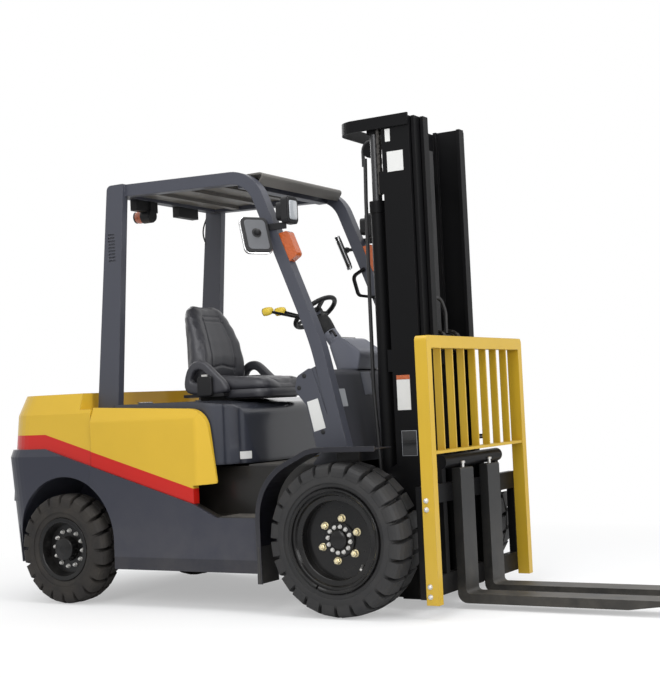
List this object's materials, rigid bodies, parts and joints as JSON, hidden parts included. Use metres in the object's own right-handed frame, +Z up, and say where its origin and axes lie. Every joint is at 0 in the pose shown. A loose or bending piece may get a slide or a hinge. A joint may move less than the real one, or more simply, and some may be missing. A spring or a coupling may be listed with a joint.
{
  "type": "counterbalance forklift truck",
  "caption": "Counterbalance forklift truck with a triple-stage mast, L-shaped forks, load backrest, overhead guard and rear-wheel steering.",
  "frame": {"origin": "on the ground, at the middle of the truck's length and width", "axes": "+X forward along the forks, +Y to the driver's left, +Z up"},
  "size_m": [3.812, 1.362, 2.467],
  "materials": {
    "yellow_paint": "gloss",
    "slate_paint": "satin",
    "black_paint": "satin",
    "cast_black": "matte",
    "hood_plastic": "gloss",
    "black_plastic": "matte",
    "bright_steel": "brushed",
    "tyre_rubber": "matte",
    "floor_rubber": "matte",
    "seat_vinyl": "satin",
    "lamp_clear": "clear lens",
    "lamp_orange": "lens",
    "fork_steel": "worn satin"
  },
  "bodies": {
    "chassis": {"frame": "slate_paint", "counterweight": "yellow_paint", "tow_pin": "bright_steel", "side_covers": "yellow_paint", "floor_plate": "floor_rubber", "dash": "slate_paint", "instrument_cowl": "black_plastic", "steering_column": "black_plastic", "control_levers": "yellow_paint", "pedals": "floor_rubber", "overhead_guard": "slate_paint", "roof_panel": "slate_paint", "fenders": "slate_paint", "mirrors": "black_plastic", "work_lamps": "lamp_clear", "turn_lamps": "lamp_orange", "rear_lamps": "black_plastic", "grab_handle": "black_plastic", "drive_axle": "cast_black", "engine_block": "cast_black", "steer_axle": "cast_black"},
    "front_wheel_right": {"front_rim_right": "black_paint", "front_tyre_right": "tyre_rubber"},
    "front_wheel_left": {"front_rim_left": "black_paint", "front_tyre_left": "tyre_rubber"},
    "steer_knuckle_right": {"knuckle_right": "cast_black"},
    "steer_knuckle_left": {"knuckle_left": "cast_black"},
    "rear_wheel_right": {"rear_rim_right": "black_paint", "rear_tyre_right": "tyre_rubber"},
    "rear_wheel_left": {"rear_rim_left": "black_paint", "rear_tyre_left": "tyre_rubber"},
    "hood_lid": {"hood": "hood_plastic", "seat_base": "black_paint", "seat_cushion": "seat_vinyl", "seat_back": "seat_vinyl", "hip_restraints": "seat_vinyl"},
    "hand_wheel": {"steering_wheel": "black_plastic"},
    "mast_base": {"mast_outer": "black_paint", "lift_barrels": "black_paint"},
    "mast_second": {"mast_middle": "black_paint", "lift_rods": "bright_steel"},
    "mast_third": {"mast_inner": "black_paint", "free_lift_barrel": "black_paint", "chain_rear_runs": "bright_steel"},
    "crosshead": {"free_lift_head": "bright_steel"},
    "lift_carriage": {"carriage": "black_paint", "load_backrest": "yellow_paint", "forks": "fork_steel", "lift_chains": "bright_steel"},
    "tilt_cylinder_right": {"tilt_barrel_right": "black_paint"},
    "tilt_cylinder_left": {"tilt_barrel_left": "black_paint"},
    "tilt_piston_right": {"tilt_rod_right": "bright_steel"},
    "tilt_piston_left": {"tilt_rod_left": "bright_steel"}
  },
  "joints": [
    {"name": "front_wheel_right_spin", "type": "hinge", "parent": "chassis", "child": "front_wheel_right", "pos_m": [0.349, -0.556, 0.375], "axis": [0, 1, 0], "continuous": true},
    {"name": "front_wheel_left_spin", "type": "hinge", "parent": "chassis", "child": "front_wheel_left", "pos_m": [0.349, 0.556, 0.375], "axis": [0, 1, 0], "continuous": true},
    {"name": "steer_left", "type": "hinge", "parent": "chassis", "child": "steer_knuckle_left", "pos_m": [-1.401, 0.455, 0.3], "axis": [0, 0, 1], "range_deg": [-70, 70]},
    {"name": "steer_right", "type": "hinge", "parent": "chassis", "child": "steer_knuckle_right", "pos_m": [-1.401, -0.455, 0.3], "axis": [0, 0, 1], "range_deg": [-70, 70]},
    {"name": "rear_wheel_right_spin", "type": "hinge", "parent": "steer_knuckle_right", "child": "rear_wheel_right", "pos_m": [-1.401, -0.57, 0.3], "axis": [0, 1, 0], "continuous": true},
    {"name": "rear_wheel_left_spin", "type": "hinge", "parent": "steer_knuckle_left", "child": "rear_wheel_left", "pos_m": [-1.401, 0.57, 0.3], "axis": [0, 1, 0], "continuous": true},
    {"name": "hood_open", "type": "hinge", "parent": "chassis", "child": "hood_lid", "pos_m": [-1.087, 0, 1.077], "axis": [0, -1, 0], "range_deg": [0, 60]},
    {"name": "hand_wheel_turn", "type": "hinge", "parent": "chassis", "child": "hand_wheel", "pos_m": [-0.092, 0, 1.522], "axis": [-0.5891, 0, 0.8081], "continuous": true},
    {"name": "mast_tilt", "type": "hinge", "parent": "chassis", "child": "mast_base", "pos_m": [0.349, 0, 0.375], "axis": [0, -1, 0], "range_deg": [-6, 6]},
    {"name": "tilt_cylinder_right_swing", "type": "hinge", "parent": "chassis", "child": "tilt_cylinder_right", "pos_m": [-0.211, -0.346, 0.54], "axis": [0, -1, 0], "range_deg": [-3, 3]},
    {"name": "tilt_piston_right_stroke", "type": "slide", "parent": "tilt_cylinder_right", "child": "tilt_piston_right", "axis": [0.9897, 0, 0.1434], "range_m": [-0.04, 0.04]},
    {"name": "tilt_cylinder_left_swing", "type": "hinge", "parent": "chassis", "child": "tilt_cylinder_left", "pos_m": [-0.211, 0.346, 0.54], "axis": [0, -1, 0], "range_deg": [-3, 3]},
    {"name": "tilt_piston_left_stroke", "type": "slide", "parent": "tilt_cylinder_left", "child": "tilt_piston_left", "axis": [0.9897, 0, 0.1434], "range_m": [-0.04, 0.04]},
    {"name": "mast_lift", "type": "slide", "parent": "mast_base", "child": "mast_second", "axis": [0, 0, 1], "range_m": [0, 1.4]},
    {"name": "mast_third_lift", "type": "slide", "parent": "mast_second", "child": "mast_third", "axis": [0, 0, 1], "range_m": [0, 1.4]},
    {"name": "carriage_lift", "type": "slide", "parent": "mast_third", "child": "lift_carriage", "axis": [0, 0, 1], "range_m": [0, 1.4]},
    {"name": "crosshead_lift", "type": "slide", "parent": "mast_third", "child": "crosshead", "axis": [0, 0, 1], "range_m": [0, 0.7]}
  ],
  "couplings": [
    {"joint": "steer_right", "follows": "steer_left", "ratio": 1},
    {"joint": "mast_third_lift", "follows": "mast_lift", "ratio": 1},
    {"joint": "crosshead_lift", "follows": "carriage_lift", "ratio": 0.5},
    {"joint": "tilt_cylinder_right_swing", "follows": "mast_tilt", "ratio": 0.23905},
    {"joint": "tilt_piston_right_stroke", "follows": "mast_tilt", "m_per_rad": -0.24361},
    {"joint": "tilt_cylinder_left_swing", "follows": "mast_tilt", "ratio": 0.23905},
    {"joint": "tilt_piston_left_stroke", "follows": "mast_tilt", "m_per_rad": -0.24361}
  ]
}
